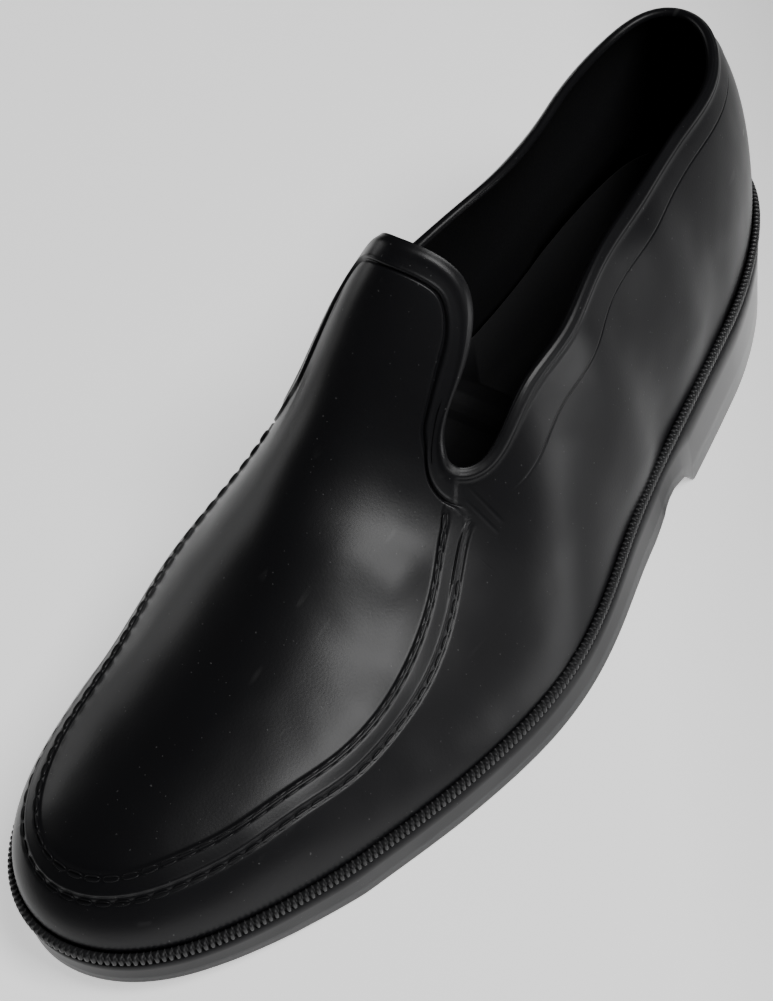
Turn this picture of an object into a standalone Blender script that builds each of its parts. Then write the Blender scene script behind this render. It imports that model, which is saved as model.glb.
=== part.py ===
# Slip-on rubber overshoe for the left foot.
# Frame: toe towards -Y, heel towards +Y, outer side of the foot towards +X, floor at z = 0.
import bmesh
import bpy
import numpy as np

# Driving sizes, in metres.
LENGTH = 0.305          # sole, toe to heel
BALL_HALF_WIDTH = 0.054  # widest half width of the last at the ball
COLLAR_HEIGHT = 0.100   # ridge of the leg at the back, above the floor
HEEL_SEAT = 0.0335      # middle of the welt at the heel, above the floor
TOE_LENGTH = 0.058      # round part of the outline at the toe
HEEL_LENGTH = 0.0625    # round part of the outline at the heel
WALL = 0.0018           # rubber of the upper
GAP = 0.0003            # clearance between neighbouring pieces
WELT_HEIGHT = 0.0028
WELT_WIDTH = 0.0019
RIDGE_ROUND = 0.14      # how far from the middle the ridge of the foot is rounded, as a share of the half width
SOLE_EDGE = 0.0012      # how far the sole's side stands outside the last at the welt
SOLE_WALL = 0.0035      # sides of the sole, which stand round the sole and heel of the shoe inside
SOLE_FLOOR = 0.0040     # floor of the sole
STEP_RISE = 0.0006      # raised apron band and tongue border
QUARTER_RISE = 0.0003   # raised band along the collar of the quarters
BEAD_RISE = 0.0006      # bead along the collar edge
STEP_RUN = 0.0007       # how far a step takes to rise
ROW_SPACING = 0.0002    # least distance between rows of facets
BEAD_WIDTH = 0.0026
APRON_BAND = 0.0065     # width of the band round the apron

# Counts that set how fine the facets are.
SIDE_COLUMNS = 42       # columns of the upper on each side of the centre line

TOE_POWER = 1.98
HEEL_POWER = 2.00

# The last, a row per station from toe (0) to heel (1).
# half_width and centre are shares of BALL_HALF_WIDTH, ridge is a share of COLLAR_HEIGHT,
# fullness is the power of the arch over the foot, and lean (share of BALL_HALF_WIDTH) moves its top.
LAST_COLUMNS = ("station", "half_width", "centre", "ridge", "fullness", "lean")
LAST = (
    (0.00, 0.765, -0.066, 0.411, 2.20, -0.050),
    (0.06, 0.750, -0.057, 0.447, 2.10, -0.031),
    (0.12, 0.761, -0.039, 0.449, 1.98, -0.020),
    (0.22, 0.869, 0.004, 0.484, 1.70, -0.048),
    (0.32, 0.993, 0.022, 0.604, 1.36, -0.139),
    (0.38, 1.006, 0.054, 0.695, 1.22, -0.207),
    (0.44, 0.961, 0.089, 0.837, 1.19, -0.241),
    (0.50, 0.876, 0.109, 1.048, 1.28, -0.206),
    (0.56, 0.780, 0.117, 1.122, 1.43, -0.128),
    (0.68, 0.661, 0.113, 1.022, 1.76, -0.035),
    (0.80, 0.607, 0.061, 0.987, 2.07, -0.039),
    (0.92, 0.615, -0.037, 1.076, 2.39, -0.035),
    (1.00, 0.700, -0.133, 1.200, 2.60, -0.022),
)

# Heights round the sole as shares of HEEL_SEAT, and how far the bottom edge flares out (shares of SOLE_EDGE).
SOLE_COLUMNS = ("station", "welt", "underside", "flare")
SOLE = (
    (0.00, 0.573, 0.253, 0.46),
    (0.06, 0.516, 0.173, 0.00),
    (0.12, 0.475, 0.066, -0.33),
    (0.18, 0.454, 0.000, -0.42),
    (0.27, 0.457, 0.000, -0.10),
    (0.40, 0.503, 0.055, 1.05),
    (0.50, 0.570, 0.095, 1.90),
    (0.56, 0.630, 0.137, 2.25),
    (0.68, 0.755, 0.300, 2.42),
    (0.85, 0.893, 0.300, 1.30),
    (1.00, 0.999, 0.300, -0.17),
)

# The open edge from the middle of the tongue round one side to the middle of the back:
# cross is the share of the half width, station the share of the length,
# border the width of the raised edge strip as a share of APRON_BAND, outline the share of the way
# round the sole that the strip of wall under it starts from, and bend where that strip turns.
EDGE_COLUMNS = ("cross", "station", "border", "outline", "bend_cross", "bend_station")
EDGE = (
    (0.000, 0.522, 1.10, 0.000, 0.00, 0.400),
    (0.310, 0.532, 1.10, 0.100, 0.13, 0.400),
    (0.430, 0.500, 0.65, 0.170, 0.22, 0.400),
    (0.435, 0.460, 0.75, 0.250, 0.33, 0.390),
    (0.490, 0.447, 1.40, 0.335, 0.50, 0.380),
    (0.580, 0.466, 1.60, 0.400, 0.74, 0.440),
    (0.615, 0.520, 2.00, 0.500, 0.84, 0.520),
    (0.635, 0.585, 1.85, 0.600, 0.84, 0.600),
    (0.550, 0.675, 1.70, 0.700, 0.80, 0.690),
    (0.555, 0.800, 1.45, 0.800, 0.80, 0.800),
    (0.490, 0.905, 1.40, 0.920, 0.70, 0.940),
    (0.000, 0.958, 1.40, 1.000, 0.00, 0.985),
)

# The two stitch rows of the apron, as shares of the way out from the centre line to the outline.
APRON_COLUMNS = ("station", "outer", "inner")
APRON = (
    (0.000, 0.900, 0.830),
    (0.050, 0.885, 0.805),
    (0.090, 0.862, 0.760),
    (0.120, 0.843, 0.742),
    (0.170, 0.810, 0.710),
    (0.210, 0.825, 0.730),
    (0.260, 0.812, 0.733),
    (0.310, 0.778, 0.698),
    (0.345, 0.735, 0.655),
    (0.380, 0.680, 0.600),
    (0.420, 0.610, 0.530),
)

# Front of the heel from the arch back to the floor: station and share of HEEL_SEAT.
BREAST = (
    (0.590, 0.155),
    (0.603, 0.197),
    (0.613, 0.245),
    (0.618, 0.307),
    (0.626, 0.350),
    (0.637, 0.358),
    (0.651, 0.304),
    (0.661, 0.263),
    (0.670, 0.182),
    (0.680, 0.070),
    (0.685, 0.000),
)

# Side of the sole from the bottom edge up to the welt: bulge as a share of SOLE_EDGE, and the share of the way down.
SIDE_SECTION = (
    (0.00, 0.97),
    (-0.10, 0.70),
    (-0.15, 0.35),
    (0.00, 0.00),
)
SOLE_BEVEL = 0.0007

OUTER = 1.0
INNER = -1.0


class Spline:
    """Natural cubic through the given values, or a closed one when the first and last value are the same."""

    def __init__(self, xs, ys, closed=False):
        self.x = np.array(xs, float)
        self.y = np.array(ys, float)
        h = np.diff(self.x)
        n = len(self.x)
        a = np.zeros((n, n))
        b = np.zeros((n,) + self.y.shape[1:])
        slope = (np.diff(self.y, axis=0).T / h).T
        for i in range(1, n - 1):
            a[i, i - 1:i + 2] = (h[i - 1], 2.0 * (h[i - 1] + h[i]), h[i])
            b[i] = 6.0 * (slope[i] - slope[i - 1])
        if closed:
            a[0, 0], a[0, n - 1] = 1.0, -1.0
            a[-1, 0] += 2.0 * h[0]
            a[-1, 1] += h[0]
            a[-1, n - 2] += h[-1]
            a[-1, n - 1] += 2.0 * h[-1]
            b[-1] = 6.0 * (slope[0] - slope[-1])
        else:
            a[0, 0] = a[-1, -1] = 1.0
        self.m = np.linalg.solve(a, b)
        self.closed = closed

    def __call__(self, at):
        at = np.asarray(at, float)
        if self.closed:
            at = self.x[0] + np.mod(at - self.x[0], self.x[-1] - self.x[0])
        i = np.clip(np.searchsorted(self.x, at, side="right") - 1, 0, len(self.x) - 2)
        h = self.x[i + 1] - self.x[i]
        left = (self.x[i + 1] - at) / h
        right = (at - self.x[i]) / h
        shape = at.shape + (1,) * (self.y.ndim - 1)
        left, right, h = left.reshape(shape), right.reshape(shape), h.reshape(shape)
        bend = ((left ** 3 - left) * self.m[i] + (right ** 3 - right) * self.m[i + 1]) * h ** 2 / 6.0
        return left * self.y[i] + right * self.y[i + 1] + bend


def column(names, rows, name, scale=1.0):
    """Spline along the station column for one named column of a table."""
    i = names.index(name)
    k = names.index("station")
    return Spline([row[k] for row in rows], [row[i] * scale for row in rows])


HALF_WIDTH = column(LAST_COLUMNS, LAST, "half_width", BALL_HALF_WIDTH)
CENTRE = column(LAST_COLUMNS, LAST, "centre", BALL_HALF_WIDTH)
RIDGE = column(LAST_COLUMNS, LAST, "ridge", COLLAR_HEIGHT)
FULLNESS = column(LAST_COLUMNS, LAST, "fullness")
LEAN = column(LAST_COLUMNS, LAST, "lean", BALL_HALF_WIDTH)
WELT_Z = column(SOLE_COLUMNS, SOLE, "welt", HEEL_SEAT)
FLARE = column(SOLE_COLUMNS, SOLE, "flare", SOLE_EDGE)
APRON_OUTER = column(APRON_COLUMNS, APRON, "outer")
APRON_INNER = column(APRON_COLUMNS, APRON, "inner")


# Outline of the sole: toe arc, straight flanks along the stations, heel arc.
TOE_Y = -0.5 * LENGTH + TOE_LENGTH
HEEL_Y = 0.5 * LENGTH - HEEL_LENGTH


def station(y):
    return np.clip(y / LENGTH + 0.5, -0.02, 1.02)


def outline_point(turn):
    """Cross share and y on the outline, and the y of its anchor on the centre line; turn runs 0 to 3."""
    toe = np.clip(turn, 0.0, 1.0) * 0.5 * np.pi
    heel = np.clip(turn - 2.0, 0.0, 1.0) * 0.5 * np.pi
    cross = np.maximum(np.sin(toe), 0.0) ** (2.0 / TOE_POWER) * np.maximum(np.cos(heel), 0.0) ** (2.0 / HEEL_POWER)
    anchor = TOE_Y + np.clip(turn - 1.0, 0.0, 1.0) * (HEEL_Y - TOE_Y)
    y = anchor - TOE_LENGTH * np.maximum(np.cos(toe), 0.0) ** (2.0 / TOE_POWER)
    y = y + HEEL_LENGTH * np.maximum(np.sin(heel), 0.0) ** (2.0 / HEEL_POWER)
    return cross, y, anchor


def plan(cross, y):
    return CENTRE(station(y)) + cross * HALF_WIDTH(station(y))


def outline_turns(shares):
    """Turn values at the given shares of the length of one side of the outline."""
    turn = np.linspace(0.0, 3.0, 901)
    cross, y, _ = outline_point(turn)
    x = plan(cross, y)
    run = np.concatenate(([0.0], np.cumsum(np.hypot(np.diff(x), np.diff(y)))))
    return np.interp(shares, run / run[-1], turn)


def outline_offset(turn, side, distance):
    """Plan position on the outline moved outwards by a distance."""
    step = 1e-3
    ahead = outline_point(np.clip(turn + step, 0.0, 3.0))
    back = outline_point(np.clip(turn - step, 0.0, 3.0))
    cross, y, anchor = outline_point(turn)
    x = plan(side * cross, y)
    dx = plan(side * ahead[0], ahead[1]) - plan(side * back[0], back[1])
    dy = ahead[1] - back[1]
    dx = np.where((turn <= step) | (turn >= 3.0 - step), side * np.abs(dx), dx)
    dx = np.where(turn >= 3.0 - step, -side * np.abs(dx), dx)
    dy = np.where((turn <= step) | (turn >= 3.0 - step), 0.0, dy)
    run = np.hypot(dx, dy)
    return x + side * dy / run * distance, y - side * dx / run * distance, anchor


def reach(cross, y):
    """How far out a place of the upper lies: 0 on the centre line, 1 on the outline."""
    toe = np.clip((TOE_Y - y) / TOE_LENGTH, 0.0, 1.3)
    heel = np.clip((y - HEEL_Y) / HEEL_LENGTH, 0.0, 1.3)
    power = np.where(toe > 0.0, TOE_POWER, HEEL_POWER)
    return (np.abs(cross) ** power + toe ** power + heel ** power) ** (1.0 / power)


def over_last(cross, y):
    """Point of the upper's outer surface over a cross share and y."""
    s = station(y)
    power = FULLNESS(s)
    out = np.clip(reach(cross, y), 0.0, 1.0)
    low = RIDGE_ROUND ** power
    drop = ((out ** 2 + RIDGE_ROUND ** 2) ** (0.5 * power) - low) / ((1.0 + RIDGE_ROUND ** 2) ** (0.5 * power) - low)
    rise = np.clip(1.0 - drop, 0.0, 1.0) ** (1.0 / power)
    foot = WELT_Z(s) + 0.001
    x = plan(cross, y) + LEAN(s) * rise
    return np.stack([x, y + 0.0 * rise, foot + (RIDGE(s) - foot) * rise], axis=-1)


def edge_ring():
    """Closed curve of the open edge in cross share and y, with its place numbers."""
    half = [(row[0], (row[1] - 0.5) * LENGTH) for row in EDGE]
    ring = half + [(-cross, y) for cross, y in half[-2:0:-1]] + half[:1]
    points = np.array(ring)
    scaled = points * (0.75 * BALL_HALF_WIDTH, 1.0)
    run = np.sqrt(np.hypot(*np.diff(scaled, axis=0).T))
    places = np.concatenate(([0.0], np.cumsum(run)))
    return Spline(places, points, closed=True), places


RING, PLACES = edge_ring()
HALF_PLACES = PLACES[:len(EDGE)]
NOTCH = 4               # row of EDGE at the bottom of the notch
NOTCH_SHARE = EDGE[NOTCH][EDGE_COLUMNS.index("outline")]


def edge_line():
    """Dense points along the open edge on the outer surface."""
    flat = RING(np.linspace(0.0, PLACES[-1], 700, endpoint=False))
    return over_last(flat[:, 0], flat[:, 1])


EDGE_LINE = edge_line()


def keyed(name, place, odd=False):
    """A column of EDGE at a place along the edge, eased over the corners at its rows."""
    values = [row[EDGE_COLUMNS.index(name)] for row in EDGE]
    end = HALF_PLACES[-1]
    near = place + np.linspace(-0.035, 0.035, 9) * end
    folded = np.where(near > end, 2.0 * end - near, np.abs(near))
    sign = np.where((near < 0.0) | (near > end), -1.0, 1.0) if odd else 1.0
    return float(np.mean(sign * np.interp(folded, HALF_PLACES, values)))


def ease(x, low, high):
    t = np.clip((x - low) / (high - low), 0.0, 1.0)
    return t * t * (3.0 - 2.0 * t)


def from_row(cross, y, row):
    """Signed distance outside one of the apron's rows, measured on the surface."""
    step = 1e-4
    first, last = APRON[0][0], APRON[-1][0]

    def value(c, v):
        return reach(c, v) - row(np.clip(station(v), first, last))

    here = over_last(cross, y)
    wide = np.linalg.norm(over_last(cross + step, y) - here, axis=-1) / step
    long = np.linalg.norm(over_last(cross, y + 0.1 * step) - here, axis=-1) / (0.1 * step)
    base = value(cross, y)
    across = (value(cross + step, y) - base) / step / wide
    along = (value(cross, y + 0.1 * step) - base) / (0.1 * step) / long
    return base / np.maximum(np.hypot(across, along), 2.0)


class Strip:
    """One strip of the upper from the welt to the open edge, with its distances from the lines."""

    def __init__(self, share, side, samples=201):
        shares = [row[EDGE_COLUMNS.index("outline")] for row in EDGE]
        place = np.interp(share, shares, HALF_PLACES)
        self.share, self.side = share, side
        self.border = keyed("border", place) * APRON_BAND
        self.fore = 1.0 - ease(share, NOTCH_SHARE - 0.004, NOTCH_SHARE + 0.014)
        self.even = ease(share, NOTCH_SHARE, NOTCH_SHARE + 0.07)
        top = RING(place if side > 0.0 else PLACES[-1] - place)
        cross, y, _ = outline_point(float(outline_turns(share)))
        foot = np.array((side * cross, y))
        bend = np.array((side * keyed("bend_cross", place, odd=True), (keyed("bend_station", place) - 0.5) * LENGTH))
        t = np.linspace(0.0, 1.0, samples)[:, None]
        self.way = foot * (1.0 - t) ** 2 + bend * 2.0 * t * (1.0 - t) + top * t ** 2
        surface = over_last(self.way[:, 0], self.way[:, 1])
        steps = np.linalg.norm(np.diff(surface, axis=0), axis=1)
        self.run = np.concatenate(([0.0], np.cumsum(steps)))
        self.length = self.run[-1]
        apart = surface[:, None] - EDGE_LINE[None]
        self.edge = np.sqrt((apart ** 2).sum(axis=2).min(axis=1))
        self.edge[-1] = 0.0
        self.outer = from_row(self.way[:, 0], self.way[:, 1], APRON_OUTER)
        self.inner = from_row(self.way[:, 0], self.way[:, 1], APRON_INNER)

    def cut(self, values, level):
        """Length at which a distance that falls along the strip last stands above a level."""
        far = np.nonzero(values > level)[0]
        i = far[-1] if len(far) else 0
        j = min(i + 1, len(values) - 1)
        share = np.clip((values[i] - level) / max(values[i] - values[j], 1e-12), 0.0, 1.0)
        return self.run[i] + share * (self.run[j] - self.run[i])

    def at(self, run):
        cross = np.interp(run, self.run, self.way[:, 0])
        y = np.interp(run, self.run, self.way[:, 1])
        return over_last(cross, y)


LOWER_SHARES = (0.10, 0.28, 0.52, 0.78)
MIDDLE_SHARES = (0.12, 0.28, 0.46, 0.64, 0.82)
QUARTER_ROWS = (0.50, 0.60)   # where the apron's rows run on, flat, under the quarters


def row_places(strip):
    """Lengths of the rows along one strip, and the rise of the surface on each row."""
    border = strip.cut(strip.edge, strip.border)
    outer = min(strip.cut(strip.outer, 0.0), border)
    inner = min(strip.cut(strip.inner, 0.0), border)
    outer, inner = (at + strip.even * (share * border - at) for at, share in zip((outer, inner), QUARTER_ROWS))
    run = min(STEP_RUN, 0.35 * (inner - outer))
    clear = strip.fore * ease(border - inner, 0.0, 0.003)
    on_strip = QUARTER_RISE + strip.fore * (STEP_RISE - QUARTER_RISE)
    bead = BEAD_RISE * (1.0 - strip.fore)
    places = [0.0] + [share * outer for share in LOWER_SHARES]
    rises = [0.0] * len(places)
    places += [outer, outer + run, inner - run, inner]
    rises += [0.0, STEP_RISE * clear, STEP_RISE * clear, 0.0]
    places += [inner + share * (border - inner) for share in MIDDLE_SHARES]
    rises += [0.0] * len(MIDDLE_SHARES)
    places += [border, strip.cut(strip.edge, strip.border - STEP_RUN)]
    places += [strip.cut(strip.edge, BEAD_WIDTH), strip.cut(strip.edge, BEAD_WIDTH - STEP_RUN), strip.length]
    rises += [0.0, on_strip, on_strip, on_strip + bead, on_strip + 0.3 * bead]
    spaced = np.maximum.accumulate(np.array(places) - ROW_SPACING * np.arange(len(places)))
    spaced = spaced + ROW_SPACING * np.arange(len(places))
    spaced *= strip.length / spaced[-1]
    return spaced, np.array(rises)


def strip_shares():
    """Shares of one side's outline at which the strips stand."""
    return np.linspace(0.0, 1.0, SIDE_COLUMNS + 1)


def strips():
    shares = strip_shares()
    return [Strip(share, OUTER) for share in shares] + [Strip(share, INNER) for share in shares[-2:0:-1]]


def upper_surfaces(columns):
    """Outer and inner grids of the upper, a column per strip and a row per place."""
    base, rises = [], []
    for strip in columns:
        places, rise = row_places(strip)
        base.append(strip.at(places))
        rises.append(rise)
    base = np.array(base)
    rises = np.array(rises)
    around = np.roll(base, -1, axis=0) - np.roll(base, 1, axis=0)
    along = np.gradient(base, axis=1)
    normal = np.cross(around, along)
    normal[:, 0, 2] = 0.0
    normal /= np.linalg.norm(normal, axis=2)[:, :, None]
    outer = base + normal * rises[:, :, None]
    inner = base - normal * WALL
    inner[:, 0, 2] = base[:, 0, 2]
    floor = WELT_Z(station(base[:, 0, 1])) - 0.5 * WELT_HEIGHT
    foot_out = outer[:, 0].copy()
    foot_in = inner[:, 0].copy()
    foot_out[:, 2] = floor
    foot_in[:, 2] = floor
    outer = np.concatenate((foot_out[:, None], outer), axis=1)
    inner = np.concatenate((foot_in[:, None], inner), axis=1)
    return outer, inner


def add_mesh(name, points, faces, material):
    mesh = bpy.data.meshes.new(name)
    mesh.from_pydata([tuple(p) for p in points], [], faces)
    mesh.validate()
    work = bmesh.new()
    work.from_mesh(mesh)
    bmesh.ops.remove_doubles(work, verts=work.verts, dist=2e-6)
    bmesh.ops.dissolve_degenerate(work, edges=work.edges, dist=1e-7)
    bmesh.ops.triangulate(work, faces=work.faces)
    bmesh.ops.recalc_face_normals(work, faces=work.faces)
    work.to_mesh(mesh)
    work.free()
    for face in mesh.polygons:
        face.use_smooth = True
    mesh.materials.append(material)
    part = bpy.data.objects.new(name, mesh)
    bpy.context.scene.collection.objects.link(part)
    return part


def tube_faces(count, size, closed):
    """Quads joining a ring of sections of the given size; closed sections join end to start."""
    faces = []
    for i in range(count):
        j = (i + 1) % count
        for k in range(size if closed else size - 1):
            m = (k + 1) % size
            faces.append((i * size + k, j * size + k, j * size + m, i * size + m))
    return faces


def add_ring(name, sections, material, closed=True):
    sections = np.asarray(sections)
    points = sections.reshape(-1, 3)
    return add_mesh(name, points, tube_faces(len(sections), sections.shape[1], closed), material)


def rubber(name, colour, roughness):
    material = bpy.data.materials.new(name)
    material.use_nodes = True
    shader = material.node_tree.nodes["Principled BSDF"]
    shader.inputs["Base Color"].default_value = (*colour, 1.0)
    shader.inputs["Roughness"].default_value = roughness
    shader.inputs["Metallic"].default_value = 0.0
    return material


def build_upper():
    outer, inner = upper_surfaces(strips())
    sections = np.concatenate((outer, inner[:, ::-1]), axis=1)
    add_ring("upper", sections, rubber("upper_rubber", (0.012, 0.012, 0.013), 0.38))


# Outline rings shared by the sole and the welt.
def ring_turns(shares):
    turns = outline_turns(shares)
    sides = np.concatenate((np.full(len(turns), OUTER), np.full(len(turns) - 2, INNER)))
    return np.concatenate((turns, turns[-2:0:-1])), sides


def ring_points(turns, sides, offset):
    x, y, anchor = outline_offset(turns, sides, offset)
    return np.stack([x, y], axis=-1), np.stack([CENTRE(station(anchor)), anchor], axis=-1)


# The knurled strip's section: distance outside the upper, and height from its middle, as shares of its size.
WELT_SECTION = (
    (0.00, -0.50),
    (0.72, -0.50),
    (1.00, -0.24),
    (1.00, 0.24),
    (0.72, 0.50),
    (0.00, 0.50),
)


def build_welt():
    turns, sides = ring_turns(strip_shares())
    sections = []
    for out, up in WELT_SECTION:
        points, _ = ring_points(turns, sides, GAP + out * WELT_WIDTH)
        foot, _ = ring_points(turns, sides, 0.0)
        height = WELT_Z(station(foot[:, 1])) + up * WELT_HEIGHT
        sections.append(np.column_stack((points, height)))
    add_ring("welt", np.stack(sections, axis=1), rubber("welt_rubber", (0.010, 0.010, 0.011), 0.5))


def sole_top(s):
    """Height of the rim of the sole, under the upper and the welt."""
    return WELT_Z(s) - 0.5 * WELT_HEIGHT - GAP


def inset(points, anchor, share):
    return anchor + (points - anchor) * share


def sole_shares():
    """Shares for the sole's columns, with a pair at the breast of the heel."""
    turns = np.linspace(0.0, 3.0, 901)
    _, y, _ = outline_point(turns)
    x = plan(outline_point(turns)[0], y)
    run = np.concatenate(([0.0], np.cumsum(np.hypot(np.diff(x), np.diff(y)))))
    breast = [np.interp((at - 0.5) * LENGTH, y, run / run[-1]) for at, _ in BREAST]
    even = [s for s in strip_shares() if s < min(breast) - 0.008 or s > max(breast) + 0.008]
    return np.array(sorted(even + breast))


def underside(s):
    """Height of the bottom face at a station: sole, then arch, then the heel flat on the floor."""
    names = SOLE_COLUMNS
    i = names.index("underside")
    rows = [(row[0], row[i]) for row in SOLE if row[0] <= BREAST[0][0]] + list(BREAST)
    heights = np.interp(s, [row[0] for row in rows], [row[1] for row in rows])
    return heights * HEEL_SEAT


def build_outsole():
    turns, sides = ring_turns(sole_shares())
    foot, _ = ring_points(turns, sides, 0.0)
    s = station(foot[:, 1])
    top = sole_top(s)
    low = underside(s)
    flare = SOLE_EDGE + FLARE(s)
    head = GAP + WELT_WIDTH - 0.0003
    rings = []

    def bottom(share, offset, lift):
        points, anchor = ring_points(turns, sides, offset)
        where = inset(points, anchor, share)
        rings.append(np.column_stack((where, underside(station(where[:, 1])) + lift)))

    bottom(0.0, 0.0, 0.0)
    bottom(0.55, flare - SOLE_BEVEL, 0.0)
    points, _ = ring_points(turns, sides, flare - SOLE_BEVEL)
    rings.append(np.column_stack((points, low)))
    for out, down in SIDE_SECTION:
        offset = head + (flare - head) * down + out * SOLE_EDGE
        points, _ = ring_points(turns, sides, offset)
        rings.append(np.column_stack((points, top + (low - top) * down)))
    points, _ = ring_points(turns, sides, -WALL)
    rings.append(np.column_stack((points, top)))
    points, _ = ring_points(turns, sides, np.minimum(flare, head) - SOLE_WALL)
    rings.append(np.column_stack((points, low + SOLE_FLOOR)))
    bottom(0.55, flare - SOLE_WALL, SOLE_FLOOR)
    bottom(0.0, 0.0, SOLE_FLOOR)
    add_ring("outsole", np.stack(rings, axis=1), rubber("outsole_rubber", (0.020, 0.020, 0.019), 0.42), closed=False)


def centre_parts():
    """Put the middle of the whole shoe's plan over the origin and its lowest point on the floor."""
    parts = [item for item in bpy.data.objects if item.type == "MESH"]
    points = np.array([tuple(vertex.co) for part in parts for vertex in part.data.vertices])
    low, high = points.min(axis=0), points.max(axis=0)
    shift = (-0.5 * (low[0] + high[0]), -0.5 * (low[1] + high[1]), -low[2])
    for part in parts:
        for vertex in part.data.vertices:
            vertex.co = [vertex.co[i] + shift[i] for i in range(3)]


def main():
    for item in list(bpy.data.objects):
        bpy.data.objects.remove(item, do_unlink=True)
    build_outsole()
    build_upper()
    build_welt()
    centre_parts()


main()
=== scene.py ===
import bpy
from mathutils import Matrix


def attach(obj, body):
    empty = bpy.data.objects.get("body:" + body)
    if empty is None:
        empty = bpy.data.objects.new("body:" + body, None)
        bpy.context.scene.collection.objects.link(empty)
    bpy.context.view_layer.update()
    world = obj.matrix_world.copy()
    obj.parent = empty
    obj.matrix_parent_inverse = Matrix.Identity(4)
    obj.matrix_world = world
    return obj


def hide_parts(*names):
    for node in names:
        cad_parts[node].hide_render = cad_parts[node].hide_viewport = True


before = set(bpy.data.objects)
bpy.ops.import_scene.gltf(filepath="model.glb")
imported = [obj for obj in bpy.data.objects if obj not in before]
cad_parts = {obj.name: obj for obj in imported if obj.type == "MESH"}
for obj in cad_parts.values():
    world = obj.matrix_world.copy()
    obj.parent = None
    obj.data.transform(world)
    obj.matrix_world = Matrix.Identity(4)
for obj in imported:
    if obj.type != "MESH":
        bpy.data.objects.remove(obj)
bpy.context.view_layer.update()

import math

import bmesh
import bpy
import numpy as np
from mathutils import Matrix, Vector

# Sizes of the last and of the pieces, in metres.
LENGTH = 0.305          # sole, toe to heel
BALL_HALF_WIDTH = 0.054  # widest half width of the last at the ball
COLLAR_HEIGHT = 0.100   # ridge of the leg at the back, above the floor
HEEL_SEAT = 0.0335      # middle of the welt at the heel, above the floor
TOE_LENGTH = 0.058      # round part of the outline at the toe
HEEL_LENGTH = 0.0625    # round part of the outline at the heel
WALL = 0.0018           # rubber of the upper
GAP = 0.0003            # clearance between neighbouring pieces
WELT_HEIGHT = 0.0028    # the knurled strip's height and how far it stands out
WELT_WIDTH = 0.0019
RIDGE_ROUND = 0.24      # rounding of the foot's ridge, as a share of the half width
SOLE_EDGE = 0.0012      # how far the sole's side stands outside the last at the welt
SOLE_WALL = 0.0035      # sides of the sole, which stand round the sole and heel of the shoe inside
SOLE_FLOOR = 0.0040     # floor of the sole
STEP_RISE = 0.0006      # raised apron band and tongue border
QUARTER_RISE = 0.0003   # raised band along the collar of the quarters
APRON_BAND = 0.0065     # width of the band round the apron

LAST_FOOT = 0.001       # foot of the upper above the welt's middle
TOE_POWER = 1.98        # roundness of the toe's arc
HEEL_POWER = 2.00       # roundness of the heel's arc

# The last, a row per station from toe (0) to heel (1).
# half_width and centre are shares of BALL_HALF_WIDTH, ridge is a share of COLLAR_HEIGHT,
# fullness is the power of the arch over the foot, and lean (share of BALL_HALF_WIDTH) moves its top.
LAST_COLUMNS = ("station", "half_width", "centre", "ridge", "fullness", "lean")
LAST = (
    (0.00, 0.765, -0.066, 0.411, 2.20, -0.050),
    (0.06, 0.750, -0.057, 0.447, 2.10, -0.031),
    (0.12, 0.761, -0.039, 0.449, 1.98, -0.020),
    (0.22, 0.869, 0.004, 0.484, 1.70, -0.048),
    (0.32, 0.993, 0.022, 0.604, 1.36, -0.139),
    (0.38, 1.006, 0.054, 0.695, 1.22, -0.207),
    (0.44, 0.961, 0.089, 0.837, 1.19, -0.241),
    (0.50, 0.876, 0.109, 1.048, 1.28, -0.206),
    (0.56, 0.780, 0.117, 1.122, 1.43, -0.128),
    (0.68, 0.661, 0.113, 1.022, 1.76, -0.035),
    (0.80, 0.607, 0.061, 0.987, 2.07, -0.039),
    (0.92, 0.615, -0.037, 1.076, 2.39, -0.035),
    (1.00, 0.700, -0.133, 1.200, 2.60, -0.022),
)

# Heights round the sole as shares of HEEL_SEAT, and how far the bottom edge flares out (shares of SOLE_EDGE).
SOLE_COLUMNS = ("station", "welt", "underside", "flare")
SOLE = (
    (0.00, 0.573, 0.253, 0.46),
    (0.06, 0.516, 0.173, 0.00),
    (0.12, 0.475, 0.066, -0.33),
    (0.18, 0.454, 0.000, -0.42),
    (0.27, 0.457, 0.000, -0.10),
    (0.40, 0.503, 0.055, 1.05),
    (0.50, 0.570, 0.095, 1.90),
    (0.56, 0.630, 0.137, 2.25),
    (0.68, 0.755, 0.300, 2.42),
    (0.85, 0.893, 0.300, 1.30),
    (1.00, 0.999, 0.300, -0.17),
)

# The open edge from the middle of the tongue round one side to the middle of the back:
# cross is the share of the half width, station the share of the length,
# border the width of the raised edge strip as a share of APRON_BAND, outline the share of the way
# round the sole that the strip of wall under it starts from, and bend where that strip turns.
EDGE_COLUMNS = ("cross", "station", "border", "outline", "bend_cross", "bend_station")
EDGE = (
    (0.000, 0.522, 1.10, 0.000, 0.00, 0.400),
    (0.310, 0.532, 1.10, 0.100, 0.13, 0.400),
    (0.430, 0.500, 0.65, 0.170, 0.22, 0.400),
    (0.435, 0.460, 0.75, 0.250, 0.33, 0.390),
    (0.490, 0.447, 1.40, 0.335, 0.50, 0.380),
    (0.580, 0.466, 1.60, 0.400, 0.74, 0.440),
    (0.615, 0.520, 2.00, 0.500, 0.84, 0.520),
    (0.635, 0.585, 1.85, 0.600, 0.84, 0.600),
    (0.550, 0.675, 1.70, 0.700, 0.80, 0.690),
    (0.555, 0.800, 1.45, 0.800, 0.80, 0.800),
    (0.490, 0.905, 1.40, 0.920, 0.70, 0.940),
    (0.000, 0.958, 1.40, 1.000, 0.00, 0.985),
)

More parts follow.
